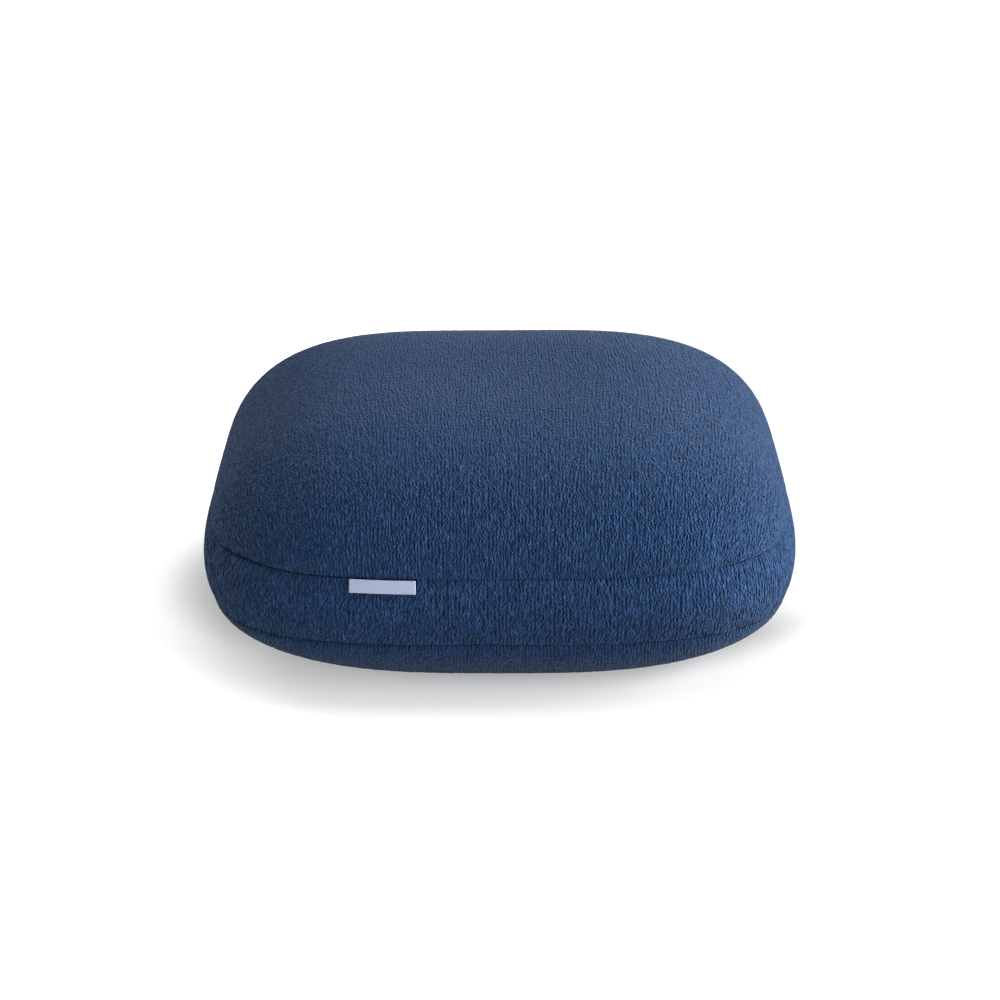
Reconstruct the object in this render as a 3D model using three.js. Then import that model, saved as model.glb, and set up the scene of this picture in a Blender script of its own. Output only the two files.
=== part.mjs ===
// Weighted pillow: one filled square cushion of ribbed plush with rounded corners.
// A crowned top panel and a rounded underside panel are each sewn to an upright band that runs
// all the way round, and a small woven label hangs from the upper of the two seams.
// Millimetres, +Z up. The pillow lies flat and its origin is the middle of the face it rests on.

import * as THREE from 'three';

// Driving sizes
const HALF_WIDTH = 200;
const HALF_DEPTH = 200;
const LOWER_SEAM_HEIGHT = 50;
const UPPER_SEAM_HEIGHT = 96;
const CROWN_RISE = 68;

// The flat that rests on the surface is this share of the half width, and its corners are rounder
const CONTACT_SHARE = 0.64;
const CONTACT_SQUARENESS = 2.8;

// The lower seam runs a little wider than the upper one, and both have the same rounded corners
const LOWER_SEAM_SHARE = 1.007;
const SEAM_SQUARENESS = 3.96;
const CROWN_SQUARENESS = 3.2;

// How full the two curved panels are: 1 is an ellipse's quarter, more is fuller
const CROWN_FULLNESS = { across: 1.85, up: 0.87 };
const UNDERSIDE_FULLNESS = { across: 0.68, up: 0.86 };

// The band stands out between the seams, and each seam draws the cloth in along a crease
const BAND_BULGE = 4.5;
const SEAM_DEPTH = 1.4;
const SEAM_HALF_WIDTH = 2.6;

// The seams rise a little at the corners, and the right ends lie higher than the left ones
const SEAM_CORNER_LIFT = 0.8;
const SEAM_TILT = 1.1;

// The filling settles into broad, shallow swells
const SWELLS = [
  { name: 'front left', height: 1.3, x: -80, y: -70, reach: 75 },
  { name: 'back right', height: 1.1, x: 95, y: 60, reach: 80 },
  { name: 'middle hollow', height: -1.2, x: 20, y: 5, reach: 70 },
  { name: 'front right hollow', height: -0.9, x: 115, y: -95, reach: 55 },
];

// Shallow tucks where the cloth gathers beside the upper seam, with x as the place along the front
const TUCKS = [
  { name: 'left corner', depth: 1.6, x: -172, aboveSeam: 14, reach: 16 },
  { name: 'right corner', depth: 1.3, x: 146, aboveSeam: 6, reach: 12 },
  { name: 'under the label', depth: 0.8, x: -60, aboveSeam: -22, reach: 12 },
];

// The label is a strip of woven tape, turned a little from level
const LABEL_WIDTH = 43;
const LABEL_DROP = 10;
const LABEL_THICKNESS = 1;
const LABEL_MIDDLE_X = -75.5;
const LABEL_TURN_DEG = 1.5;
const LABEL_CLEARANCE = 0.4;
const LABEL_LIFT_AT_HEM = 0.5;

// How finely the solids are divided
const SIDES_AROUND = 128;
const UNDERSIDE_STEPS = 9;
const BAND_STEPS = 5;
const CROWN_STEPS = 13;
const SEAM_RING_OFFSETS = [1.4, 2.9, 5.6];
const LABEL_COLUMNS = 6;
const LABEL_ROWS = [0, 1.4, 2.9, 5.6, LABEL_DROP];
const SMOOTH_PROFILE_POINTS = 400;

// A level is one height of the pillow: how far out its ring lies, how high, and how square it is.
function undersideLevel(t) {
  const angle = t * Math.PI / 2;
  const out = Math.sin(angle) ** (1 / UNDERSIDE_FULLNESS.across);
  const up = 1 - Math.cos(angle) ** (1 / UNDERSIDE_FULLNESS.up);
  return {
    share: CONTACT_SHARE + (LOWER_SEAM_SHARE - CONTACT_SHARE) * out,
    height: LOWER_SEAM_HEIGHT * up,
    squareness: CONTACT_SQUARENESS + (SEAM_SQUARENESS - CONTACT_SQUARENESS) * t,
  };
}

function bandLevel(t) {
  const bulge = 4 * t * (1 - t) * BAND_BULGE / HALF_WIDTH;
  return {
    share: LOWER_SEAM_SHARE + (1 - LOWER_SEAM_SHARE) * t + bulge,
    height: LOWER_SEAM_HEIGHT + (UPPER_SEAM_HEIGHT - LOWER_SEAM_HEIGHT) * t,
    squareness: SEAM_SQUARENESS,
  };
}

function crownLevel(t) {
  const angle = t * Math.PI / 2;
  const share = Math.cos(angle) ** (1 / CROWN_FULLNESS.across);
  return {
    share,
    height: UPPER_SEAM_HEIGHT + CROWN_RISE * Math.sin(angle) ** (1 / CROWN_FULLNESS.up),
    squareness: CROWN_SQUARENESS + (SEAM_SQUARENESS - CROWN_SQUARENESS) * share,
  };
}

// One panel's profile as a fine line of levels, each with its distance along the cloth
function measuredProfile(levelAt) {
  const line = [];
  let along = 0;
  for (let i = 0; i <= SMOOTH_PROFILE_POINTS; i += 1) {
    const level = levelAt(i / SMOOTH_PROFILE_POINTS);
    if (i > 0) {
      const before = line[i - 1];
      const out = (level.share - before.share) * HALF_WIDTH;
      along += Math.hypot(out, level.height - before.height);
    }
    line.push({ ...level, along });
  }
  return line;
}

function levelAlong(line, along) {
  const next = Math.max(1, line.findIndex((level) => level.along >= along - 1e-9));
  const a = line[next - 1];
  const b = line[next];
  const mix = THREE.MathUtils.clamp((along - a.along) / (b.along - a.along), 0, 1);
  return {
    share: THREE.MathUtils.lerp(a.share, b.share, mix),
    height: THREE.MathUtils.lerp(a.height, b.height, mix),
    squareness: THREE.MathUtils.lerp(a.squareness, b.squareness, mix),
  };
}

const underside = measuredProfile(undersideLevel);
const band = measuredProfile(bandLevel);
const crown = measuredProfile(crownLevel);
const undersideLength = underside.at(-1).along;
const bandLength = band.at(-1).along;
const crownLength = crown.at(-1).along;

// A place on the pillow's profile is its distance up the cloth from the edge of the flat.
const LOWER_SEAM_PLACE = undersideLength;
const UPPER_SEAM_PLACE = undersideLength + bandLength;
const CROWN_MIDDLE_PLACE = UPPER_SEAM_PLACE + crownLength;

function levelAtPlace(place) {
  if (place <= LOWER_SEAM_PLACE) {
    return levelAlong(underside, place);
  }
  if (place <= UPPER_SEAM_PLACE) {
    return levelAlong(band, place - LOWER_SEAM_PLACE);
  }
  return levelAlong(crown, place - UPPER_SEAM_PLACE);
}

function creaseAt(place) {
  const fromLower = (place - LOWER_SEAM_PLACE) / SEAM_HALF_WIDTH;
  const fromUpper = (place - UPPER_SEAM_PLACE) / SEAM_HALF_WIDTH;
  return SEAM_DEPTH * (Math.exp(-(fromLower ** 2)) + Math.exp(-(fromUpper ** 2)));
}

function swellAt(x, y) {
  let rise = 0;
  for (const swell of SWELLS) {
    const away = Math.hypot(x - swell.x, y - swell.y) / swell.reach;
    rise += swell.height * Math.exp(-(away ** 2));
  }
  return rise;
}

function tuckAt(place, x, y) {
  let depth = 0;
  for (const tuck of TUCKS) {
    const along = (x - tuck.x) / tuck.reach;
    const up = (place - UPPER_SEAM_PLACE - tuck.aboveSeam) / tuck.reach;
    depth += tuck.depth * Math.exp(-(along ** 2) - up ** 2);
  }
  return y < 0 ? depth : 0;
}

// A point of the pillow's cloth, with lift as a distance straight out from it
function clothPoint(place, angle, lift = 0) {
  const level = levelAtPlace(place);
  const across = Math.abs(Math.cos(angle)) ** level.squareness;
  const deep = Math.abs(Math.sin(angle)) ** level.squareness;
  const reach = (across + deep) ** (-1 / level.squareness);
  const flatX = HALF_WIDTH * level.share * reach * Math.cos(angle);
  const flatY = HALF_DEPTH * level.share * reach * Math.sin(angle);
  const drawnIn = creaseAt(place) + tuckAt(place, flatX, flatY) - lift;
  const shrink = level.share > 0 ? 1 - drawnIn / (HALF_WIDTH * level.share) : 1;

  // The seams' lift and tilt fade to nothing at the flat and at the middle of the crown
  const seamPull = level.height < UPPER_SEAM_HEIGHT
    ? level.height / UPPER_SEAM_HEIGHT
    : Math.min(1, level.share ** 2);
  const cornerLift = SEAM_CORNER_LIFT * Math.sin(2 * angle) ** 2;
  const tilt = SEAM_TILT * flatX / HALF_WIDTH;
  const crownShare = Math.max(0, level.height - UPPER_SEAM_HEIGHT) / CROWN_RISE;
  const rise = seamPull * (cornerLift + tilt) + crownShare * swellAt(flatX, flatY);
  return new THREE.Vector3(flatX * shrink, flatY * shrink, level.height + rise);
}

// Heights of the rings: even steps on each panel, with closer ones beside each seam
function ringPlaces() {
  const places = [];
  const seamReach = SEAM_RING_OFFSETS.at(-1);
  const addEven = (from, to, steps) => {
    for (let i = 0; i < steps; i += 1) {
      places.push(THREE.MathUtils.lerp(from, to, i / steps));
    }
  };
  const addSeam = (seam) => {
    for (const offset of [...SEAM_RING_OFFSETS].reverse()) {
      places.push(seam - offset);
    }
    places.push(seam);
    for (const offset of SEAM_RING_OFFSETS.slice(0, -1)) {
      places.push(seam + offset);
    }
  };
  addEven(0, LOWER_SEAM_PLACE - seamReach, UNDERSIDE_STEPS);
  addSeam(LOWER_SEAM_PLACE);
  addEven(LOWER_SEAM_PLACE + seamReach, UPPER_SEAM_PLACE - seamReach, BAND_STEPS);
  addSeam(UPPER_SEAM_PLACE);
  addEven(UPPER_SEAM_PLACE + seamReach, CROWN_MIDDLE_PLACE, CROWN_STEPS);
  return places;
}

function solidFrom(vertices, triangles) {
  const geometry = new THREE.BufferGeometry();
  const positions = vertices.flatMap((vertex) => [vertex.x, vertex.y, vertex.z]);
  geometry.setAttribute('position', new THREE.Float32BufferAttribute(positions, 3));
  geometry.setIndex(triangles.flat());
  geometry.computeVertexNormals();
  return geometry;
}

// The filled pillow is a stack of rings, closed by the flat below and the middle of the crown above.
function pillowGeometry() {
  const places = ringPlaces();
  const vertices = [];
  const triangles = [];
  for (const place of places) {
    for (let side = 0; side < SIDES_AROUND; side += 1) {
      vertices.push(clothPoint(place, 2 * Math.PI * side / SIDES_AROUND));
    }
  }
  const flatMiddle = vertices.push(new THREE.Vector3(0, 0, 0)) - 1;
  const crownMiddle = vertices.push(clothPoint(CROWN_MIDDLE_PLACE, 0)) - 1;
  const lastRing = (places.length - 1) * SIDES_AROUND;
  for (let side = 0; side < SIDES_AROUND; side += 1) {
    const next = (side + 1) % SIDES_AROUND;
    for (let ring = 0; ring < places.length - 1; ring += 1) {
      const below = ring * SIDES_AROUND;
      const above = below + SIDES_AROUND;
      triangles.push([below + side, below + next, above + next]);
      triangles.push([below + side, above + next, above + side]);
    }
    triangles.push([flatMiddle, next, side]);
    triangles.push([crownMiddle, lastRing + side, lastRing + next]);
  }
  return solidFrom(vertices, triangles);
}

// The angle round the pillow at which its front has a given x
function frontAngle(place, x) {
  const level = levelAtPlace(place);
  const across = Math.abs(x / (HALF_WIDTH * level.share)) ** level.squareness;
  const y = -HALF_DEPTH * level.share * (1 - across) ** (1 / level.squareness);
  return Math.atan2(y / HALF_DEPTH, x / HALF_WIDTH);
}

// The label is a thin curved slab that starts in the upper crease and lies on the band below it.
function labelGeometry() {
  const vertices = [];
  const triangles = [];
  const turn = Math.tan(THREE.MathUtils.degToRad(LABEL_TURN_DEG));
  const stride = LABEL_ROWS.length;
  for (const face of [0, LABEL_THICKNESS]) {
    for (let column = 0; column <= LABEL_COLUMNS; column += 1) {
      const alongLabel = LABEL_WIDTH * column / LABEL_COLUMNS;
      for (const drop of LABEL_ROWS) {
        const x = LABEL_MIDDLE_X - LABEL_WIDTH / 2 + alongLabel;
        const place = UPPER_SEAM_PLACE - drop - alongLabel * turn;
        const stand = LABEL_CLEARANCE + LABEL_LIFT_AT_HEM * drop / LABEL_DROP;
        vertices.push(clothPoint(place, frontAngle(place, x), stand + face));
      }
    }
  }
  const outer = (LABEL_COLUMNS + 1) * stride;
  const addQuad = (a, b, c, d) => {
    triangles.push([a, b, c]);
    triangles.push([a, c, d]);
  };
  for (let column = 0; column < LABEL_COLUMNS; column += 1) {
    for (let row = 0; row < stride - 1; row += 1) {
      const corner = column * stride + row;
      const right = corner + stride;
      addQuad(outer + corner, outer + corner + 1, outer + right + 1, outer + right);
      addQuad(corner, right, right + 1, corner + 1);
    }
    const top = column * stride;
    const hem = top + stride - 1;
    addQuad(top, outer + top, outer + top + stride, top + stride);
    addQuad(hem, hem + stride, outer + hem + stride, outer + hem);
  }
  const lastColumn = LABEL_COLUMNS * stride;
  for (let row = 0; row < stride - 1; row += 1) {
    addQuad(row, row + 1, outer + row + 1, outer + row);
    const end = lastColumn + row;
    addQuad(end, outer + end, outer + end + 1, end + 1);
  }
  return solidFrom(vertices, triangles);
}

const plushMaterial = new THREE.MeshStandardMaterial({ color: '#34507f', roughness: 0.95, metalness: 0 });
const tapeMaterial = new THREE.MeshStandardMaterial({ color: '#e4e4f0', roughness: 0.8, metalness: 0 });

const pillow = new THREE.Mesh(pillowGeometry(), plushMaterial);
pillow.name = 'filled_pillow';

const label = new THREE.Mesh(labelGeometry(), tapeMaterial);
label.name = 'woven_label';

const weightedPillow = new THREE.Group();
weightedPillow.add(pillow, label);

export default weightedPillow;
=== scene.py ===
# %% [markdown]
# # A weighted pillow in ribbed chenille plush
#
# The pillow is a heavy, tightly filled square cushion. A maker cuts two square panels with round
# corners and one long band, sews the band between them, and catches a small tape label in the
# upper seam. This lesson lays each piece of cloth, with its ribs, pile, seams and gathers, over
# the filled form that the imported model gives, and then finishes, lights and photographs it.

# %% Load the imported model
import math

import bpy
import numpy as np
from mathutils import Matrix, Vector


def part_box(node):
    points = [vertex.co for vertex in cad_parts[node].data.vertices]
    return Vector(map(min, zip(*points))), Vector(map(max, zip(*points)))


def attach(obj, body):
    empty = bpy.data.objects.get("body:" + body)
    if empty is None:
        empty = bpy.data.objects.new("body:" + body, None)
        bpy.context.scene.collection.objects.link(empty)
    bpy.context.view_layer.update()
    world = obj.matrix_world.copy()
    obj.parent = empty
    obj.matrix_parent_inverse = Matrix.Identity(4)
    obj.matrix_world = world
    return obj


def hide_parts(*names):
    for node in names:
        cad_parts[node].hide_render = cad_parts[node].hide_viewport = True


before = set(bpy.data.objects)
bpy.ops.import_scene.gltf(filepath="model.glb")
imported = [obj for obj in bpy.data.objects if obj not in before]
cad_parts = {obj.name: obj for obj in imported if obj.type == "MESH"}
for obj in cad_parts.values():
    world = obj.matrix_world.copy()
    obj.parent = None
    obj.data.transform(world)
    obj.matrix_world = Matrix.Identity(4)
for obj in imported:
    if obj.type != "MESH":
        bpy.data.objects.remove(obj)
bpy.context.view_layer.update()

MM = 0.001
pillow_low, pillow_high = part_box("filled_pillow")
label_low, label_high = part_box("woven_label")
print("pillow", [round((high - low) / MM, 1) for low, high in zip(pillow_low, pillow_high)], "mm")
print("label", [round((high - low) / MM, 1) for low, high in zip(label_low, label_high)], "mm")

# %% [markdown]
# ## The sizes that drive everything
#
# The cloth is worked out in millimetres and becomes metres only when a mesh is made. The sizes
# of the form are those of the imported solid, so the cloth lies where the solid is. They were
# fitted to the outline and the seams in the photo and then rounded. The tucks and the label are
# drawn a little differently from the solid's, because the cloth shows more of them.

# %% Sizes of the filled form
HALF_WIDTH = 200
HALF_DEPTH = 200
LOWER_SEAM_HEIGHT = 50
UPPER_SEAM_HEIGHT = 96
CROWN_RISE = 68
CONTACT_SHARE = 0.64
CONTACT_SQUARENESS = 2.8
LOWER_SEAM_SHARE = 1.007
SEAM_SQUARENESS = 3.96
CROWN_SQUARENESS = 3.2
CROWN_FULLNESS = {"across": 1.85, "up": 0.87}
UNDERSIDE_FULLNESS = {"across": 0.68, "up": 0.86}
BAND_BULGE = 4.5
SEAM_CORNER_LIFT = 0.8
SEAM_TILT = 1.1

# Broad, shallow swells and hollows where the filling has settled
SWELLS = [
    {"name": "front left", "height": 1.3, "x": -80, "y": -70, "reach": 75},
    {"name": "back right", "height": 1.1, "x": 95, "y": 60, "reach": 80},
    {"name": "middle hollow", "height": -1.2, "x": 20, "y": 5, "reach": 70},
    {"name": "front right hollow", "height": -0.9, "x": 115, "y": -95, "reach": 55},
]

# Shallow tucks where the cloth gathers beside the upper seam, on the front of the pillow. The
# solid has three of the four, and its left one is shallower.
TUCKS = [
    {"name": "left corner roll", "depth": 2.4, "x": -164, "above_seam": 3, "reach": 17},
    {"name": "left of the band", "depth": 1.0, "x": -146, "above_seam": -22, "reach": 13},
    {"name": "right corner", "depth": 1.3, "x": 146, "above_seam": 6, "reach": 12},
    {"name": "under the label", "depth": 0.8, "x": -60, "above_seam": -22, "reach": 12},
]

# %% [markdown]
# ## Small tools
#
# Four helpers serve every piece: colours from hex, shader nodes with their settings, a soft
# random surface that is the same on every run, and a mesh from a grid of points.

# %% Colours and shader nodes
def linear(hex_colour):
    """An sRGB hex colour as the linear colour that a shader works in."""
    values = [int(hex_colour[i:i + 2], 16) / 255 for i in (1, 3, 5)]
    return (*[v / 12.92 if v <= 0.04045 else ((v + 0.055) / 1.055) ** 2.4 for v in values], 1.0)


def add_node(tree, kind, settings=None, inputs=None):
    """One shader node with its settings, and a value or a link for each named or numbered input."""
    made = tree.nodes.new(kind)
    for name, value in (settings or {}).items():
        setattr(made, name, value)
    for socket, value in (inputs or {}).items():
        if isinstance(value, bpy.types.NodeSocket):
            tree.links.new(value, made.inputs[socket])
        else:
            made.inputs[socket].default_value = value
    return made


# %% Soft random surfaces
LATTICE = 256


def soft_noise(across, along, seed, around=LATTICE):
    """Smooth hills and hollows from -1 to 1, one unit apart, repeating after `around` units."""
    heights = np.random.default_rng(seed).uniform(-1, 1, (around, LATTICE))
    column, row = np.floor(across).astype(int), np.floor(along).astype(int)
    mix_across, mix_along = across - column, along - row
    mix_across = mix_across * mix_across * (3 - 2 * mix_across)
    mix_along = mix_along * mix_along * (3 - 2 * mix_along)
    left, right = column % around, (column + 1) % around
    low, high = row % LATTICE, (row + 1) % LATTICE
    bottom = heights[left, low] * (1 - mix_across) + heights[right, low] * mix_across
    top = heights[left, high] * (1 - mix_across) + heights[right, high] * mix_across
    return bottom * (1 - mix_along) + top * mix_along


# %% A mesh from a grid of points
def cloth_mesh(name, points, cloth_places, pile, stretch, closed=False, outward=1):
    """A piece of cloth from a grid of points in mm, with its cloth map, pile and stretch."""
    columns, rows = points.shape[:2]
    number = np.arange(columns * rows).reshape(columns, rows)
    nxt = np.roll(number, -1, axis=0) if closed else number[1:]
    here = number if closed else number[:-1]
    quads = np.stack([here[:, :-1], nxt[:, :-1], nxt[:, 1:], here[:, 1:]], -1).reshape(-1, 4)
    quads = quads[:, ::outward]
    mesh = bpy.data.meshes.new(name)
    mesh.from_pydata((points.reshape(-1, 3) * MM).tolist(), [], quads.tolist())
    uv = cloth_places.reshape(-1, 2)[quads.ravel()] * MM
    if closed:
        uv = unwrap_last_column(uv, cloth_places)
    mesh.uv_layers.new(name="cloth").data.foreach_set("uv", uv.astype(np.float32).ravel())
    for attribute, values in (("pile_height", pile), ("stretch", stretch)):
        layer = mesh.attributes.new(attribute, "FLOAT", "POINT")
        layer.data.foreach_set("value", values.astype(np.float32).ravel())
    mesh.shade_smooth()
    piece = bpy.data.objects.new(name, mesh)
    bpy.context.collection.objects.link(piece)
    print(name, "has", 2 * len(quads), "triangles")
    return piece


def unwrap_last_column(uv, cloth_places):
    """Lets the last strip of a closed band run on past the first column instead of back to it."""
    width = (cloth_places[1, 0, 0] - cloth_places[0, 0, 0]) * len(cloth_places) * MM
    per_strip = 4 * (cloth_places.shape[1] - 1)
    last = uv[-per_strip:]
    last[:, 0] += np.where(last[:, 0] < width / 2, width, 0)
    return uv


# %% [markdown]
# ## The filled form
#
# A filled pillow takes the form that its cut and its filling give it: a domed top, an upright
# band that bulges a little, and an underside that rounds down to the flat it rests on. Each
# height is a rounded square, and a level says how far out, how high and how square it is. A
# sculpted mesh could do the same, but a formula lets the ribs follow the cloth exactly.

# %% Levels of the three panels
def underside_level(t):
    """From the edge of the flat, t = 0, up to the lower seam, t = 1."""
    angle = t * np.pi / 2
    out = np.sin(angle) ** (1 / UNDERSIDE_FULLNESS["across"])
    up = 1 - np.cos(angle) ** (1 / UNDERSIDE_FULLNESS["up"])
    share = CONTACT_SHARE + (LOWER_SEAM_SHARE - CONTACT_SHARE) * out
    squareness = CONTACT_SQUARENESS + (SEAM_SQUARENESS - CONTACT_SQUARENESS) * t
    return share, LOWER_SEAM_HEIGHT * up, squareness


def underside_from_seam(t):
    """From the lower seam, t = 0, round the curve and over the flat to its middle, t = 1."""
    share, height, squareness = underside_level(np.clip(1 - 2 * t, 0, 1))
    flat = np.clip(2 * t - 1, 0, 1)
    return share * (1 - flat), height, squareness


def band_level(t):
    """From the lower seam, t = 0, up to the upper seam, t = 1."""
    bulge = 4 * t * (1 - t) * BAND_BULGE / HALF_WIDTH
    share = LOWER_SEAM_SHARE + (1 - LOWER_SEAM_SHARE) * t + bulge
    height = LOWER_SEAM_HEIGHT + (UPPER_SEAM_HEIGHT - LOWER_SEAM_HEIGHT) * t
    return share, height, SEAM_SQUARENESS + 0 * t


def crown_level(t):
    """From the upper seam, t = 0, over the dome to its middle, t = 1."""
    angle = t * np.pi / 2
    share = np.maximum(np.cos(angle), 0) ** (1 / CROWN_FULLNESS["across"])
    height = UPPER_SEAM_HEIGHT + CROWN_RISE * np.sin(angle) ** (1 / CROWN_FULLNESS["up"])
    return share, height, CROWN_SQUARENESS + (SEAM_SQUARENESS - CROWN_SQUARENESS) * share


# %% Points and outward directions on the form
def form_point(level, angle):
    """The point of the filled form at a level, in the direction of an angle round the pillow."""
    share, height, squareness = level
    across = np.abs(np.cos(angle)) ** squareness
    deep = np.abs(np.sin(angle)) ** squareness
    reach = (across + deep) ** (-1 / squareness)
    x = HALF_WIDTH * share * reach * np.cos(angle)
    y = HALF_DEPTH * share * reach * np.sin(angle)
    below_seam = height < UPPER_SEAM_HEIGHT
    pull = np.where(below_seam, height / UPPER_SEAM_HEIGHT, np.minimum(1, share ** 2))
    rise = pull * (SEAM_CORNER_LIFT * np.sin(2 * angle) ** 2 + SEAM_TILT * x / HALF_WIDTH)
    crown_share = np.maximum(0, height - UPPER_SEAM_HEIGHT) / CROWN_RISE
    for swell in SWELLS:
        away = np.hypot(x - swell["x"], y - swell["y"]) / swell["reach"]
        rise = rise + crown_share * swell["height"] * np.exp(-away ** 2)
    return np.stack([x, y, height + rise], -1)


def form_outward(level_at, t, angle):
    """The direction straight out of the filled form, as unit vectors."""
    step = 1e-3
    low, high = np.clip(t - step, 0, 1), np.clip(t + step, 0, 1)
    along = form_point(level_at(high), angle) - form_point(level_at(low), angle)
    around = form_point(level_at(t), angle + step) - form_point(level_at(t), angle - step)
    out = np.cross(around, along)
    size = np.linalg.norm(out, axis=-1, keepdims=True)
    here = form_point(level_at(t), angle)
    middle = np.array([0, 0, (LOWER_SEAM_HEIGHT + UPPER_SEAM_HEIGHT) / 2])
    upright = np.zeros_like(out)
    upright[..., 2] = np.sign(here[..., 2] - middle[2])
    out = np.where(size > 1e-9, out / np.maximum(size, 1e-9), upright)
    side = np.sum(out * (here - middle), -1, keepdims=True)
    return out * np.where(side < 0, -1, 1)


# %% [markdown]
# ## Laying a flat panel over the form
#
# The ribs run straight from front to back on the flat cut panel. Once it is sewn and filled they
# bow outwards over the dome, because the cloth has to reach further round its middle. So a point
# of the flat panel keeps its direction from the middle and its share of the way to the seam.

# %% Measure the way from seam to middle
RIB_SPREAD = 0.17
ANGLES = np.linspace(-np.pi, np.pi, 721)
SHARES = np.linspace(0, 1, 401)


def measure_panel(level_at):
    """How t grows with distance along the cloth, and the cloth's length, in each direction."""
    steps = 1 - (1 - SHARES) ** 2
    points = form_point([part[None, :] for part in level_at(steps)], ANGLES[:, None])
    lengths = np.cumsum(np.linalg.norm(np.diff(points, axis=1), axis=-1), axis=1)
    lengths = np.pad(lengths, ((0, 0), (1, 0)))
    inverse = np.array([np.interp(SHARES, row / row[-1], steps) for row in lengths])
    return {"level_at": level_at, "inverse": inverse, "length": lengths[:, -1]}


def rib_pull(panel):
    """What a rib's sideways place is multiplied by at each share of the way from middle to seam."""
    t = step_at(panel, np.full(len(SHARES), -np.pi / 2), 1 - SHARES)
    share = panel["level_at"](t)[0]
    natural = share[1:] / SHARES[1:]
    wanted = 1 + RIB_SPREAD * (1 - SHARES[1:])
    return np.append(wanted[0] / natural[0], wanted / natural)


def step_at(panel, angle, from_seam):
    """The t of a point that lies a given share of the way from the seam to the middle."""
    place = (angle + np.pi) / (2 * np.pi) * (len(ANGLES) - 1)
    share = np.clip(from_seam, 0, 1) * (len(SHARES) - 1)
    i = np.clip(place.astype(int), 0, len(ANGLES) - 2)
    j = np.clip(share.astype(int), 0, len(SHARES) - 2)
    a, b = place - i, share - j
    table = panel["inverse"]
    near = table[i, j] * (1 - b) + table[i, j + 1] * b
    far = table[i + 1, j] * (1 - b) + table[i + 1, j + 1] * b
    return near * (1 - a) + far * a


crown_panel = measure_panel(crown_level)
underside_panel = measure_panel(underside_from_seam)
CUT_HALF = float(np.interp(0, ANGLES, crown_panel["length"]))
UNDER_CUT_HALF = float(np.interp(0, ANGLES, underside_panel["length"]))
print("top panel is cut", round(2 * CUT_HALF), "mm wide")
print("underside panel is cut", round(2 * UNDER_CUT_HALF), "mm wide")

# %% [markdown]
# ## Ribs, pile, seams and gathers
#
# Chenille yarn is a short brush of pile round a thread, so the cloth shows soft ribs that break
# into tufts, with dark gaps between them. Each rib gets three rows of points: one in the gap and
# two on its rounded back. On the dome the filling stretches the cloth and opens the ribs, so they
# are shallower there. The seams draw the cloth down into a narrow crease with small gathers, and
# their thread is tightest at the left.

# %% Relief of the ribs
RIB_PITCH = 2.6
RIB_DEPTH = 0.4
TUFT_LENGTH = 5.0
TUFT_DEPTH = 0.35
FINE_TUFT_LENGTH = 2.0
TUFT_SHARE = 0.6
FINE_SHARE = 0.4
GAP_MIDDLE = 0.6
GAP_VARIES = 0.8
OPEN_RIB_SHARE = 0.65
SEAM_RIB_SHARE = 0.85
PILE_MIDDLE = 0.6
RIB_WANDER = 0.3
WANDER_RIBS = 1.5
WANDER_LENGTH = 8
POINTS_A_RIB = 3
SLACK_FROM = 0.3
SLACK_OVER = 0.45


def rib_openness(reach):
    """The share of their depth that the ribs keep, which is less where the dome opens them."""
    return SEAM_RIB_SHARE + (OPEN_RIB_SHARE - SEAM_RIB_SHARE) * stretched(reach)


def stretched(reach):
    """How far the filling stretches the cloth: 1 in a panel's middle, 0 at its seam."""
    near_seam = np.clip((reach - SLACK_FROM) / SLACK_OVER, 0, 1)
    return 1 - near_seam * near_seam * (3 - 2 * near_seam)


def rib_relief(rib, in_gap, along, seed, around=LATTICE, openness=1.0):
    """How far the pile lies below its tallest tufts, in mm, and its height from 0 to 1."""
    tuft = 0.5 + 0.5 * soft_noise(rib * 1.0, along / TUFT_LENGTH, seed, around)
    fine = 0.5 + 0.5 * soft_noise(rib * 2.0, along / FINE_TUFT_LENGTH, seed + 1, 2 * around)
    gap = soft_noise(rib * 1.0, along / TUFT_LENGTH, seed + 2, around)
    gap_depth = RIB_DEPTH * np.clip(GAP_MIDDLE + GAP_VARIES * gap, 0, 1)
    below = TUFT_DEPTH * (TUFT_SHARE * tuft + FINE_SHARE * fine) + in_gap * gap_depth
    height = PILE_MIDDLE + openness * (1 - below / (TUFT_DEPTH + RIB_DEPTH) - PILE_MIDDLE)
    below = below * openness
    return below, height


# %% Pile lowered as painted shade towards the floor
PAINTED_LOW_SHADE = 0.3
PAINTED_LOW_SHADE_FULL_BELOW = 50.0
PAINTED_LOW_SHADE_ENDS_ABOVE = 85.0


def with_painted_low_shade(pile, points):
    """The pile's height lowered towards the floor, lowest on the underside, which darkens the colour there
    as a painted shade.
    """
    low = np.clip((PAINTED_LOW_SHADE_ENDS_ABOVE - points[..., 2]) / (PAINTED_LOW_SHADE_ENDS_ABOVE - PAINTED_LOW_SHADE_FULL_BELOW), 0, 1)
    return pile - PAINTED_LOW_SHADE * low * low * (3 - 2 * low)


# %% Seam crease, gathers and tucks
UPPER_CREASE = {"depth": 2.2, "width": 0.5, "tighter_left": 0.08}
LOWER_CREASE = {"depth": 2.2, "width": 0.55, "tighter_left": 0.3}
TIGHTNESS = 0.55
TIGHTNESS_VARIES = 0.25
CREASE_SPACING = 60.0
DRAW_IN = 0.15
DRAW_IN_WIDTH = 4.0
GATHER_DEPTH = 0.55
GATHER_WIDTH = 11.0
GATHER_SPACING = 9.0
GATHER_START = 3
LOOSEST = 0.1
WAVER_HEIGHT = 0.3
WAVER_SPACING = 34.0
WAVER_REACH = 16
SCALLOP_HEIGHT = 0.3
SCALLOP_SPACING = 5.5
SCALLOP_REACH = 4
SEAM_LENGTH = 2 * np.pi * HALF_WIDTH * 1.17


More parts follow.
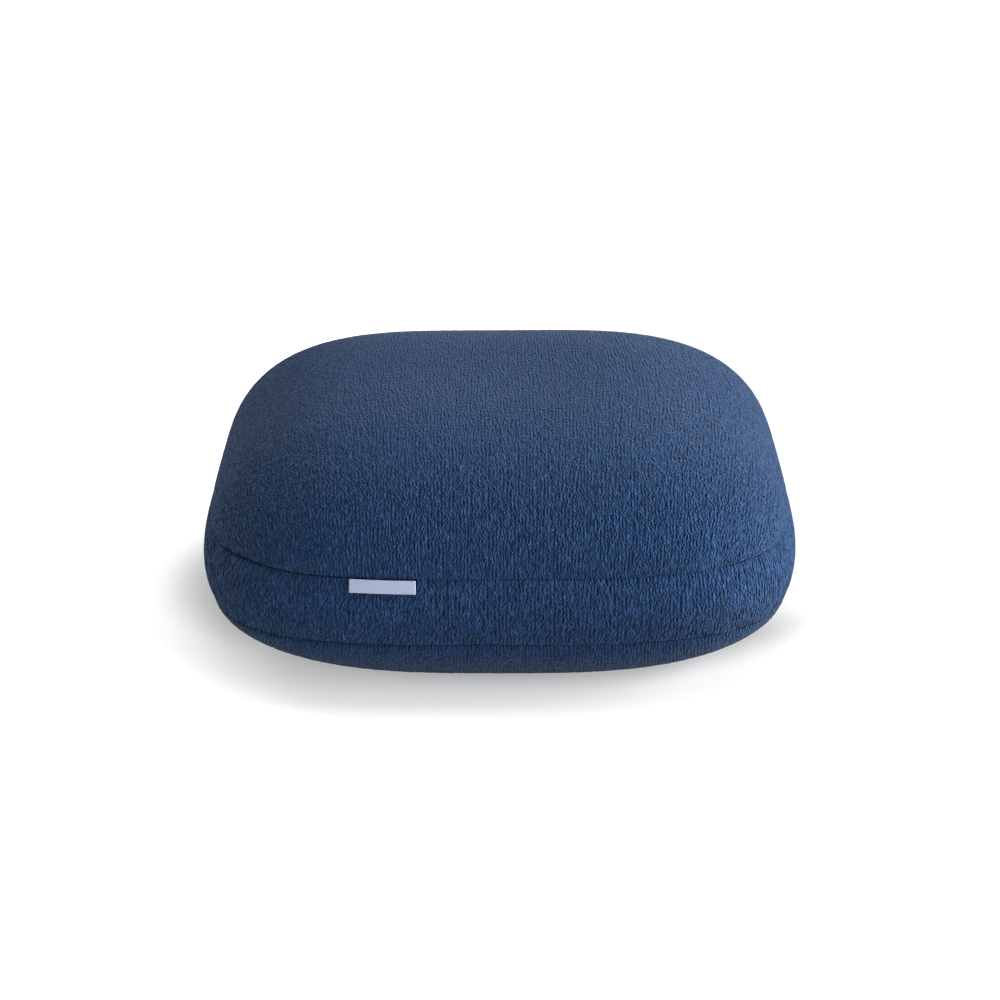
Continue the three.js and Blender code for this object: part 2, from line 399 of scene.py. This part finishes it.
def seam_noise(angle, spacing, seed):
    """Soft noise along a seam that closes on itself after one way round."""
    around = int(SEAM_LENGTH / spacing)
    return soft_noise((angle + np.pi) / (2 * np.pi) * around, 0 * angle, seed, around)


def seam_pull(angle, from_seam, crease, seed):
    """How far the seam draws the cloth in, at a distance in mm; it is tightest at the left."""
    tightness = TIGHTNESS + TIGHTNESS_VARIES * seam_noise(angle, CREASE_SPACING, seed + 50)
    tightness = np.clip(tightness - crease["tighter_left"] * np.cos(angle), LOOSEST, 1)
    narrow = crease["depth"] * tightness * np.exp(-from_seam / crease["width"])
    broad = DRAW_IN * np.exp(-(from_seam / DRAW_IN_WIDTH) ** 2)
    gather = GATHER_DEPTH * (0.5 + 0.5 * seam_noise(angle, GATHER_SPACING, seed))
    rise = from_seam / GATHER_START
    gather = gather * rise * np.exp(1 - rise - (from_seam / GATHER_WIDTH) ** 2)
    return narrow + broad + gather


def seam_waver(angle, from_seam, seed):
    """How far the sewn line strays up or down, fading away from the seam."""
    broad = WAVER_HEIGHT * seam_noise(angle, WAVER_SPACING, seed) * np.exp(-(from_seam / WAVER_REACH) ** 2)
    scallop = SCALLOP_HEIGHT * seam_noise(angle, SCALLOP_SPACING, seed + 60)
    return broad + scallop * np.exp(-(from_seam / SCALLOP_REACH) ** 2)


def tuck_depth(points, above_seam):
    """How deep the few larger tucks on the front are, at a distance above the upper seam."""
    depth = np.zeros(points.shape[:-1])
    for tuck in TUCKS:
        along = (points[..., 0] - tuck["x"]) / tuck["reach"]
        up = (above_seam - tuck["above_seam"]) / tuck["reach"]
        depth += tuck["depth"] * np.exp(-along ** 2 - up ** 2)
    return np.where(points[..., 1] < 0, depth, 0)


def drawn_in(points, outward, depth):
    """Points moved level into the pillow, square to the seam, by a depth in mm."""
    level = outward[..., :2]
    level = level / np.maximum(np.linalg.norm(level, axis=-1, keepdims=True), 1e-3)
    moved = points.copy()
    moved[..., :2] -= level * depth[..., None]
    return moved


# %% Rows that crowd together at the seams
CROWDING = 0.25
LEAST_POWER = 0.3


def graded_rows(count, first_gap, half_length):
    """Places from -1 to 1 whose gaps grow from the seams inwards, with a first gap given in mm."""
    even = np.linspace(-1, 1, count)
    wanted = first_gap / half_length
    power = math.log(1 - wanted) / math.log(1 - 2 / (count - 1))
    crowded = np.sign(even) * (1 - (1 - np.abs(even)) ** (1 / max(power, LEAST_POWER)))
    return (1 - CROWDING) * even + CROWDING * np.clip(crowded, -1, 1)


# %% [markdown]
# ## Top and underside panels
#
# Both are the same cut: a rounded square whose ribs run from front to back. The grid's columns
# are the ribs themselves, so gaps and tufts are real relief, and each row ends on the seam. The
# outermost columns stop just short of the middle of the side seams, where a rib would vanish.

# %% Build a square panel
EDGE_COLUMN = 0.9995
WANDER_FADE = 8
LAST_WANDER = 0.98
FLOOR_CLEARANCE = 0.02
PANEL_ROWS = 172


def square_panel(name, panel, cut_half, seed, faces_up):
    ribs = int(cut_half * EDGE_COLUMN / RIB_PITCH)
    number = np.arange(-ribs * POINTS_A_RIB, ribs * POINTS_A_RIB + 1)
    rib = number / POINTS_A_RIB
    u = np.concatenate([[-EDGE_COLUMN], rib * RIB_PITCH / cut_half, [EDGE_COLUMN]])
    in_gap = np.concatenate([[1], (number % POINTS_A_RIB == 0).astype(float), [1]])[:, None]
    rows = graded_rows(PANEL_ROWS, 1.0, cut_half)[None, :]

    # The flat cut, then the direction and the share of the way to the seam
    half_row = (1 - np.abs(u) ** SEAM_SQUARENESS) ** (1 / SEAM_SQUARENESS)
    w = rows * half_row[:, None]
    across, along = u[:, None] + 0 * w, w
    inner = (1 - np.abs(rows) ** WANDER_FADE) * (np.abs(u) < LAST_WANDER)[:, None]
    wander = soft_noise(u[:, None] * cut_half / (WANDER_RIBS * RIB_PITCH),
                        along * cut_half / WANDER_LENGTH, seed + 5)
    across = across + RIB_WANDER * RIB_PITCH / cut_half * wander * inner
    reach = (np.abs(across) ** SEAM_SQUARENESS + np.abs(along) ** SEAM_SQUARENESS)
    reach = np.minimum(reach ** (1 / SEAM_SQUARENESS), 1)
    pulled = across * np.interp(reach, SHARES, rib_pull(panel))
    angle = np.arctan2(along, pulled)

    # The smooth form, and what the ribs, seam and gathers do to it
    t = step_at(panel, angle, 1 - reach)
    points = form_point(panel["level_at"](t), angle)
    outward = form_outward(panel["level_at"], t, angle)
    from_seam = (1 - reach) * np.interp(angle, ANGLES, panel["length"])
    below, pile = rib_relief(u[:, None] * cut_half / RIB_PITCH + LATTICE / 2, in_gap,
                             along * cut_half, seed, openness=rib_openness(reach))
    points = points - outward * below[..., None]
    pull = seam_pull(angle, from_seam, UPPER_CREASE if faces_up else LOWER_CREASE, seed + 7)
    if faces_up:
        pull = pull + tuck_depth(points, from_seam)
    points = drawn_in(points, outward, pull)
    points[..., 2] += seam_waver(angle, from_seam, 40 if faces_up else 41)
    points[..., 2] = np.maximum(points[..., 2], FLOOR_CLEARANCE)
    places = np.stack([across * cut_half, along * cut_half], -1)
    outward_order = 1 if faces_up else -1
    stretch = stretched(reach) if faces_up else 1 + 0 * reach
    # The pile is lowered towards the floor, a painted shade that darkens the cloth there
    piece = cloth_mesh(name, points, places, with_painted_low_shade(pile, points), stretch,
                       outward=outward_order)
    print(name, "has", 2 * ribs, "ribs of", RIB_PITCH, "mm")
    return piece


top_panel = square_panel("top_panel", crown_panel, CUT_HALF, 11, faces_up=True)
underside = square_panel("underside_panel", underside_panel, UNDER_CUT_HALF, 23, faces_up=False)

# %% [markdown]
# ## Side band
#
# The band is one strip whose ribs stand upright, sewn between the two panels. Its ribs are
# spaced evenly along the cloth, so the columns are placed by distance round the pillow and not
# by angle. Behind the label the pile is pressed down, so the tape lies flat on it.

# %% Where the label lies
LABEL_WIDTH = 43
LABEL_DROP = 10
LABEL_MIDDLE_X = -75.5
PRESSED_PILE = 1.0
PRESS_FADE = 2.0

# Turned less than the solid's label, to match the slope of its edge in the photo
LABEL_TURN = math.radians(0.3)


def label_press(points, below_seam):
    """How far the label presses the pile down, fading out just past its edges."""
    beside = np.abs(points[..., 0] - LABEL_MIDDLE_X) - LABEL_WIDTH / 2
    under = below_seam - LABEL_DROP - 1
    edge = np.clip(1 - np.maximum(beside, under) / PRESS_FADE, 0, 1)
    return np.where(points[..., 1] < 0, PRESSED_PILE * edge * edge * (3 - 2 * edge), 0)


# %% Build the band
BAND_RIB_PITCH = 2.62
BAND_ROWS = 34


def side_band(seed):
    round_level = band_level(np.full(len(ANGLES), 0.5))
    ring = form_point(round_level, ANGLES)
    walked = np.append(0, np.cumsum(np.linalg.norm(np.diff(ring, axis=0), axis=-1)))
    ribs = int(round(walked[-1] / BAND_RIB_PITCH))
    number = np.arange(ribs * POINTS_A_RIB)
    rib = number / POINTS_A_RIB
    rows = (graded_rows(BAND_ROWS, 0.7, UPPER_SEAM_HEIGHT - LOWER_SEAM_HEIGHT) + 1)[None, :] / 2
    upright = rows * (UPPER_SEAM_HEIGHT - LOWER_SEAM_HEIGHT)
    wander = soft_noise(rib[:, None] / WANDER_RIBS, upright / WANDER_LENGTH, seed + 5,
                        int(ribs / WANDER_RIBS))
    walk = (rib[:, None] + RIB_WANDER * wander * 4 * rows * (1 - rows)) * walked[-1] / ribs

    # A rib stands upright, so the bulge's sideways share is taken off its place along the band
    ahead = np.gradient(ring[:, :2], axis=0)
    ahead = ahead / np.linalg.norm(ahead, axis=-1, keepdims=True)
    slip = np.interp(np.mod(walk, walked[-1]), walked, np.sum(ring[:, :2] * ahead, -1))
    bulge = 4 * rows * (1 - rows) * BAND_BULGE / HALF_WIDTH
    straight = walk - slip * (bulge + (LOWER_SEAM_SHARE - 1) * (1 - rows))
    angle = np.interp(np.mod(straight, walked[-1]), walked, ANGLES)
    t = rows + 0 * angle
    points = form_point(band_level(t), angle)
    outward = form_outward(band_level, t, angle)
    below, pile = rib_relief(rib[:, None] + 0 * t, (number % POINTS_A_RIB == 0)[:, None] * 1.0,
                             upright + 0 * t, seed, ribs)
    from_upper, from_lower = (1 - t) * BAND_LENGTH, t * BAND_LENGTH
    press = label_press(points, from_upper)
    below = np.where(press > 0, np.maximum(below * (1 - press), press), below)
    points = points - outward * below[..., None]
    pull = (seam_pull(angle, from_upper, UPPER_CREASE, seed + 7)
            + seam_pull(angle, from_lower, LOWER_CREASE, seed + 8)
            + tuck_depth(points, -from_upper))
    points = drawn_in(points, outward, pull)
    points[..., 2] += seam_waver(angle, from_upper, 40) + seam_waver(angle, from_lower, 41)
    places = np.stack([walk, upright + 0 * t], -1)
    # The pile is lowered towards the floor, a painted shade that darkens the cloth there
    piece = cloth_mesh("side_band", points, places, with_painted_low_shade(pile, points), 0 * t, closed=True)
    print("band is", round(walked[-1]), "mm round with", ribs, "ribs")
    return piece


BAND_LENGTH = float(np.hypot(UPPER_SEAM_HEIGHT - LOWER_SEAM_HEIGHT, BAND_BULGE))
band = side_band(31)

# %% [markdown]
# ## Label
#
# The label is a short length of smooth woven tape, folded once at its lower edge and caught in
# the upper seam. It is bare. A closed section swept along the label's width gives it the soft
# fold, and its upper edge dips into the crease so that it reads as sewn in.

# %% Build the label
LABEL_THICKNESS = 0.8
LABEL_STAND = 0.4
LABEL_HEM_LIFT = 0.8
LABEL_START = 0.2
LABEL_END = 8.2
LABEL_COLUMNS = 44
LABEL_ROWS = 14
CORNER_CURL = 0.35
TUCKED_DEPTH = 0.5
TUCKED_REACH = 0.8
FOLD_STEPS = 8


def band_place(below_seam, x):
    """Point and outward direction on the band's front, a distance in mm below the upper seam."""
    t = np.minimum(1 - below_seam / BAND_LENGTH, 1.02)
    share, _, squareness = band_level(t)
    sideways = np.abs(x / (HALF_WIDTH * share)) ** squareness
    y = -(1 - sideways) ** (1 / squareness) * HALF_DEPTH * share
    angle = np.arctan2(y / HALF_DEPTH, x / HALF_WIDTH)
    return form_point(band_level(t), angle), form_outward(band_level, t, angle)


def label_section():
    """The label's closed outline as (distance below the seam, height off the pile) in mm."""
    half = LABEL_THICKNESS / 2
    drops = np.linspace(LABEL_START, LABEL_END - half, LABEL_ROWS)
    turn = np.linspace(-np.pi / 2, np.pi / 2, FOLD_STEPS + 2)[1:-1]
    back = np.stack([drops, 0 * drops], -1)
    fold = np.stack([LABEL_END - half + half * np.cos(turn), half + half * np.sin(turn)], -1)
    front = np.stack([drops[::-1], 0 * drops + LABEL_THICKNESS], -1)
    return np.concatenate([back, fold, front])


def label_points():
    section = label_section()
    along = np.linspace(0, LABEL_WIDTH, LABEL_COLUMNS + 1)[:, None]
    drop = section[None, :, 0] + along * math.tan(LABEL_TURN)
    x = LABEL_MIDDLE_X - LABEL_WIDTH / 2 + along + 0 * drop
    points, outward = band_place(drop, x)
    hem = (section[None, :, 0] / LABEL_DROP) ** 2
    curl = CORNER_CURL * np.abs(along / LABEL_WIDTH * 2 - 1) ** 3
    stand = LABEL_STAND + section[None, :, 1] + hem * (LABEL_HEM_LIFT + curl)
    points = points + outward * stand[..., None]
    tucked = TUCKED_DEPTH * np.exp(-np.maximum(drop - LABEL_START, 0) / TUCKED_REACH)
    points = drawn_in(points, outward, tucked)
    return points, section


def label_mesh():
    points, section = label_points()
    columns, rows = points.shape[:2]
    number = np.arange(columns * rows).reshape(columns, rows)
    here, nxt = number[:-1], number[1:]
    up_here, up_nxt = np.roll(here, -1, axis=1), np.roll(nxt, -1, axis=1)
    quads = np.stack([here, nxt, up_nxt, up_here], -1).reshape(-1, 4).tolist()
    ends = [number[0].tolist(), number[-1][::-1].tolist()]
    mesh = bpy.data.meshes.new("woven_label")
    mesh.from_pydata((points.reshape(-1, 3) * MM).tolist(), [], quads + ends)
    across = np.linspace(0, LABEL_WIDTH, columns)[:, None] + 0 * points[..., 0]
    length = np.append(0, np.cumsum(np.linalg.norm(np.diff(section, axis=0), axis=-1)))[None, :]
    place = np.stack([across, length + 0 * across], -1).reshape(-1, 2) * MM
    loops = np.empty(len(mesh.loops), int)
    mesh.loops.foreach_get("vertex_index", loops)
    mesh.uv_layers.new(name="cloth").data.foreach_set("uv", place[loops].astype(np.float32).ravel())
    mesh.polygons.foreach_set("use_smooth", [True] * len(quads) + [False, False])
    mesh.update()
    piece = bpy.data.objects.new("label_tape", mesh)
    bpy.context.collection.objects.link(piece)
    print("label_tape has", len(mesh.polygons), "faces")
    return piece


label = label_mesh()

# %% [markdown]
# ## Chenille plush finish
#
# The cloth is taken to be polyester chenille, judged from its look in the photo: short pile
# round a twisted thread, dyed navy. Pile scatters
# light back at grazing angles, which is the greyish bloom seen along the edges, so the shader
# has a broad sheen and is otherwise rough and dull. The tufts inside a rib are finer than the
# mesh. A noise made of short cords, one rib pitch apart and running with the ribs, adds them to
# the bump and to the colour. The colour darkens where the pile is low, a painted shade in the
# gaps and hollows, and lightens on the tallest pile, painted light on the tips mixed with random
# tone. Where the cloth is stretched the cords are longer and weaker.

# %% Plush material
CORD_LENGTH = 1.7
CORD_HEIGHT = 3.0
STRETCHED_CORD_LENGTH = 6.0
STRETCHED_CORDS = 0.62
STRETCHED_CLUMPS = 0.6
PILE_SHARE = 0.45
TIPS_SHARE = 0.8
CLUMPS_SHARE = 0.6
SHADE_RANGE = 0.62
# The gap colour is a painted shade on the lowest pile; the tip colour, on the tallest pile, is painted
# light mixed with random tone
GAP_SHADE_COLOUR = "#08111f"
CLOTH_COLOUR = "#1c3251"
TIP_COLOUR = "#395685"

# Sizes of the patterns across and along the ribs, in mm. Real pile tips are finer than this, and
# are drawn as coarse as they have to be to show.
SLACK_CLUMPS = (2.4, 4.6)
TAUT_CLUMPS = (1.3, 2.8)
TIPS = (0.7, 0.9)


def chenille_plush():
    material = bpy.data.materials.new("polyester_chenille_plush")
    material.use_nodes = True
    tree = material.node_tree
    tree.nodes.clear()
    cloth = add_node(tree, "ShaderNodeUVMap", {"uv_map": "cloth"}).outputs["UV"]

    def at_scale(across_mm, along_mm):
        share = (1 / (across_mm * MM), 1 / (along_mm * MM), 1)
        return add_node(tree, "ShaderNodeVectorMath", {"operation": "MULTIPLY"},
                        {0: cloth, 1: share}).outputs[0]

    # Cords of pile stand one rib apart and break into short tufts, with finer tips inside
    def cords_of(length, share_upright):
        return add_node(tree, "ShaderNodeTexGabor", {"gabor_type": "2D"},
                        {"Vector": at_scale(RIB_PITCH, length), "Scale": 1.0, "Frequency": 1.0,
                         "Anisotropy": share_upright, "Orientation 2D": 0.0}).outputs["Value"]

    tips = add_node(tree, "ShaderNodeTexNoise", {"noise_dimensions": "2D"},
                    {"Vector": at_scale(*TIPS), "Scale": 1.0, "Detail": 2.0,
                     "Roughness": 0.65}).outputs["Fac"]

    def clumps_of(across_mm, along_mm):
        return add_node(tree, "ShaderNodeTexNoise", {"noise_dimensions": "2D"},
                        {"Vector": at_scale(across_mm, along_mm), "Scale": 1.0,
                         "Detail": 1.0}).outputs["Fac"]

    # Every layer is counted from its own middle, so a weaker layer does not change the colour
    def layer(value, middle, share, below):
        centred = add_node(tree, "ShaderNodeMath", {"operation": "SUBTRACT"},
                           {0: value, 1: middle}).outputs[0]
        return add_node(tree, "ShaderNodeMath", {"operation": "MULTIPLY_ADD"},
                        {0: centred, 1: share, 2: below}).outputs[0]

    # The height of the pile is the rib's own relief with cords and clumps added; tips only tint it
    pile = add_node(tree, "ShaderNodeAttribute", {"attribute_name": "pile_height"}).outputs["Fac"]
    stretch = add_node(tree, "ShaderNodeAttribute", {"attribute_name": "stretch"}).outputs["Fac"]

    def by_stretch(slack, taut):
        return add_node(tree, "ShaderNodeMapRange", {},
                        {"Value": stretch, "To Min": slack, "To Max": taut}).outputs[0]

    cords = by_stretch(cords_of(CORD_LENGTH, 0.85), cords_of(STRETCHED_CORD_LENGTH, 1.0))
    clumps = by_stretch(clumps_of(*SLACK_CLUMPS), clumps_of(*TAUT_CLUMPS))
    ribs = layer(pile, PILE_MIDDLE, PILE_SHARE, 0)
    with_cords = layer(cords, 0.5, by_stretch(1, STRETCHED_CORDS), ribs)
    height = layer(clumps, 0.5, by_stretch(CLUMPS_SHARE, STRETCHED_CLUMPS), with_cords)
    tinted = layer(tips, 0.5, TIPS_SHARE, height)
    # The colour follows the height: painted shade where the pile is low, painted light on the tallest tips
    shade = add_node(tree, "ShaderNodeMapRange", {},
                     {"Value": tinted, "From Min": -SHADE_RANGE,
                      "From Max": SHADE_RANGE}).outputs[0]
    colours = add_node(tree, "ShaderNodeValToRGB", {}, {"Fac": shade})
    ramp = colours.color_ramp
    ramp.elements[0].position, ramp.elements[0].color = 0.0, linear(GAP_SHADE_COLOUR)
    ramp.elements[1].position, ramp.elements[1].color = 1.0, linear(TIP_COLOUR)
    middle = ramp.elements.new(0.5)
    middle.color = linear(CLOTH_COLOUR)

    bump = add_node(tree, "ShaderNodeBump", {},
                    {"Height": height, "Strength": 1.0, "Distance": CORD_HEIGHT * MM}).outputs[0]
    shader = add_node(tree, "ShaderNodeBsdfPrincipled", {}, {
        "Base Color": colours.outputs["Color"], "Roughness": 0.95, "IOR": 1.5,
        "Specular IOR Level": 0.05, "Normal": bump,
        "Sheen Weight": 0.085, "Sheen Roughness": 0.35, "Sheen Tint": linear("#e8efe0"),
    })
    add_node(tree, "ShaderNodeOutputMaterial", {}, {"Surface": shader.outputs[0]})
    return material


plush = chenille_plush()
for piece in (top_panel, band, underside):
    piece.data.materials.append(plush)
    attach(piece, "root")
    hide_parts("filled_pillow")
print("plush has", len(plush.node_tree.nodes), "shader nodes")

# %% [markdown]
# ## Tape finish
#
# The label is taken to be polyester satin tape in a pale lilac white. Its weave is far finer than
# the pile,
# so it looks smooth with a faint line from each row of thread.

# %% Tape material
# Real rows of thread are finer than this, and are drawn as coarse as they have to be to show
TAPE_ROW = 0.5


def satin_tape():
    material = bpy.data.materials.new("woven_polyester_tape")
    material.use_nodes = True
    tree = material.node_tree
    tree.nodes.clear()
    cloth = add_node(tree, "ShaderNodeUVMap", {"uv_map": "cloth"}).outputs["UV"]
    waves_a_unit = 20 / (2 * math.pi)
    weave = add_node(tree, "ShaderNodeTexWave", {"bands_direction": "Y"},
                     {"Vector": cloth, "Scale": 1 / (TAPE_ROW * MM) / waves_a_unit,
                      "Distortion": 0.4}).outputs["Fac"]
    bump = add_node(tree, "ShaderNodeBump", {},
                    {"Height": weave, "Strength": 0.15, "Distance": 0.0002}).outputs[0]
    shader = add_node(tree, "ShaderNodeBsdfPrincipled", {}, {
        "Base Color": linear("#98a0ba"), "Roughness": 0.6, "IOR": 1.5,
        "Specular IOR Level": 0.3, "Normal": bump,
        "Sheen Weight": 0.1, "Sheen Roughness": 0.4,
    })
    add_node(tree, "ShaderNodeOutputMaterial", {}, {"Surface": shader.outputs[0]})
    return material


label.data.materials.append(satin_tape())
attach(label, "root")
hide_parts("woven_label")
print("label wears", label.data.materials[0].name)

# %% [markdown]
# ## Floor, light and camera
#
# The pillow lies on a plain white floor in soft light. The main light is a large panel at its
# right, hardly higher than the pillow, so the right flank glows and the front left corner falls
# dark. Weaker panels in front, behind and overhead fill the rest. The floor glows a little though
# it is no lamp, and glows less near the pillow, which paints a shadow round its foot. Its paint is
# greyer at the right and greyest beside the pillow's corners, a painted shadow where the main
# light would otherwise wash the shadow out. The far floor and the horizon are white.

# %% Floor
FLOOR_HALF = 40.0
FLOOR_GLOW = 0.42
FAR_GLOW = 0.5
FAR_GLOW_FROM = 1.0
FAR_GLOW_FULL = 3.0
SHADE_MIDDLE = (0, 0.02, 0)
SHADE_CORE = 0.12
SHADE_EDGE = 0.25
SHADE_OVAL = (1, 4 / 3, 1)
# Grey paint at the right and beside the pillow's corners is a painted shadow
PAINT_LEFT = 0.86
PAINT_RIGHT = 0.42
PAINT_TURNS_OVER = 0.25
PAINT_SHADE = 0.66
PAINT_SHADE_FROM = 0.212
PAINT_SHADE_TO = 0.262


def white_floor():
    mesh = bpy.data.meshes.new("floor")
    corners = [(-FLOOR_HALF, -FLOOR_HALF, 0), (FLOOR_HALF, -FLOOR_HALF, 0),
               (FLOOR_HALF, FLOOR_HALF, 0), (-FLOOR_HALF, FLOOR_HALF, 0)]
    mesh.from_pydata(corners, [], [(0, 1, 2, 3)])
    floor = bpy.data.objects.new("floor", mesh)
    bpy.context.collection.objects.link(floor)
    material = bpy.data.materials.new("matt_floor_with_painted_shadow")
    material.use_nodes = True
    tree = material.node_tree
    shader = tree.nodes["Principled BSDF"]
    shader.inputs["Roughness"].default_value = 0.9
    shader.inputs["Specular IOR Level"].default_value = 0.1
    shader.inputs["Emission Color"].default_value = linear("#ffffff")
    place = add_node(tree, "ShaderNodeTexCoord").outputs["Object"]
    apart = add_node(tree, "ShaderNodeSeparateXYZ", {}, {0: place}).outputs
    sideways, deep = apart["X"], apart["Y"]
    from_middle = add_node(tree, "ShaderNodeVectorMath", {"operation": "SUBTRACT"},
                           {0: place, 1: SHADE_MIDDLE}).outputs[0]
    oval = add_node(tree, "ShaderNodeVectorMath", {"operation": "MULTIPLY"},
                    {0: from_middle, 1: SHADE_OVAL}).outputs[0]
    away = add_node(tree, "ShaderNodeVectorMath", {"operation": "LENGTH"},
                    {0: oval}).outputs["Value"]

    def smooth(value, start, end, low, high):
        return add_node(tree, "ShaderNodeMapRange", {"interpolation_type": "SMOOTHSTEP"},
                        {"Value": value, "From Min": start, "From Max": end,
                         "To Min": low, "To Max": high}).outputs[0]

    # The paint is greyer towards the right, and greyest beside the pillow's corners: a painted shadow
    to_right = smooth(sideways, -PAINT_TURNS_OVER, PAINT_TURNS_OVER, PAINT_LEFT, PAINT_RIGHT)
    beside = smooth(away, PAINT_SHADE_FROM, PAINT_SHADE_TO, PAINT_SHADE, 0)
    on_right = smooth(sideways, 0.0, 0.13, 0, 1)
    in_front = smooth(deep, -0.08, -0.02, 1, 0)
    on_left = smooth(sideways, -0.19, -0.11, 1, 0)
    corner = add_node(tree, "ShaderNodeMath", {"operation": "MULTIPLY_ADD"},
                      {0: on_right, 1: in_front, 2: on_left}).outputs[0]
    shaded = add_node(tree, "ShaderNodeMath", {"operation": "MULTIPLY"},
                      {0: beside, 1: corner}).outputs[0]
    kept = add_node(tree, "ShaderNodeMath", {"operation": "SUBTRACT"}, {0: 1, 1: shaded}).outputs[0]
    paint = add_node(tree, "ShaderNodeMath", {"operation": "MULTIPLY"},
                     {0: to_right, 1: kept}).outputs[0]
    tree.links.new(paint, shader.inputs["Base Color"])
    # The glow fades near the pillow, a painted shadow round its foot
    near_glow = smooth(away, SHADE_CORE, SHADE_EDGE, 0, FLOOR_GLOW)
    far_glow = smooth(away, FAR_GLOW_FROM, FAR_GLOW_FULL, 0, FAR_GLOW)
    glow = add_node(tree, "ShaderNodeMath", {"operation": "ADD"},
                    {0: near_glow, 1: far_glow}).outputs[0]
    tree.links.new(glow, shader.inputs["Emission Strength"])
    mesh.materials.append(material)


white_floor()
print("floor is", 2 * FLOOR_HALF, "m wide")

# %% Light
LAMP_TARGET = (0, 0, 0.08)

# Places and sizes are chosen. Each lamp was rendered alone, and a least-squares fit to the
# photo's brightness gave the watts, rounded. Only the overhead lamp was then lowered.
LIGHTS = [
    {"name": "right", "place": (2.2, 0.0, 0.7), "size": 1.3, "watts": 108},
    {"name": "right_high", "place": (1.6, 0.0, 1.8), "size": 1.3, "watts": 15},
    {"name": "right_front", "place": (1.6, -1.4, 0.9), "size": 1.3, "watts": 41},
    {"name": "left_back", "place": (-1.5, 1.5, 1.2), "size": 1.3, "watts": 26},
    {"name": "back", "place": (0.0, 2.3, 0.8), "size": 1.5, "watts": 17},
    {"name": "overhead", "place": (0.0, 0.0, 2.4), "size": 1.6, "watts": 19},
]


def aim(thing, target):
    """Turns a light or camera to face a point."""
    way = Vector(target) - thing.location
    thing.rotation_euler = way.to_track_quat("-Z", "Y").to_euler()


for light in LIGHTS:
    data = bpy.data.lights.new(light["name"], "AREA")
    data.size, data.energy = light["size"], light["watts"]
    lamp = bpy.data.objects.new(light["name"], data)
    lamp.location = light["place"]
    bpy.context.collection.objects.link(lamp)
    aim(lamp, LAMP_TARGET)
print(len(LIGHTS), "lamps give", sum(light["watts"] for light in LIGHTS), "W")

# %% Room: white walls round the horizon under a dimmer ceiling
CEILING_STRENGTH = 0.1
WALL_STRENGTH = 1.0
WALL_TOP = 0.02
WALL_FADE = 0.14


def white_room():
    world = bpy.data.worlds.new("white_room")
    world.use_nodes = True
    tree = world.node_tree
    up = add_node(tree, "ShaderNodeSeparateXYZ", {}, {
        0: add_node(tree, "ShaderNodeTexCoord").outputs["Generated"]}).outputs["Z"]
    strength = add_node(tree, "ShaderNodeMapRange", {"interpolation_type": "SMOOTHSTEP"},
                        {"Value": up, "From Min": WALL_TOP, "From Max": WALL_FADE,
                         "To Min": WALL_STRENGTH, "To Max": CEILING_STRENGTH}).outputs[0]
    background = tree.nodes["Background"]
    background.inputs["Color"].default_value = linear("#ffffff")
    tree.links.new(strength, background.inputs["Strength"])
    return world


bpy.context.scene.world = white_room()
print("walls", WALL_STRENGTH, "and ceiling", CEILING_STRENGTH)
bpy.context.scene.view_settings.view_transform = "Standard"

# %% Camera
# Cameras from 1.5 to 2.5 m away fit the outline about equally well. This one is used because it
# agrees with a pillow that is as deep as it is wide, which is an assumption.
CAMERA_DISTANCE = 1.85
CAMERA_ELEVATION = math.radians(22)
CAMERA_TARGET = (0, 0, 0.075)
AIM_POINT = (0.0003, -0.0015, 0.0713)
SENSOR_WIDTH = 36
FOCAL_PIXELS = 2575
PHOTO_WIDTH = 1000

camera_data = bpy.data.cameras.new("camera")
camera_data.sensor_width = SENSOR_WIDTH
camera_data.lens = FOCAL_PIXELS * SENSOR_WIDTH / PHOTO_WIDTH
camera = bpy.data.objects.new("camera", camera_data)
bpy.context.collection.objects.link(camera)
camera.location = (
    CAMERA_TARGET[0],
    CAMERA_TARGET[1] - CAMERA_DISTANCE * math.cos(CAMERA_ELEVATION),
    CAMERA_TARGET[2] + CAMERA_DISTANCE * math.sin(CAMERA_ELEVATION),
)
aim(camera, AIM_POINT)
bpy.context.scene.camera = camera
print("camera lens", round(camera_data.lens, 1), "mm")
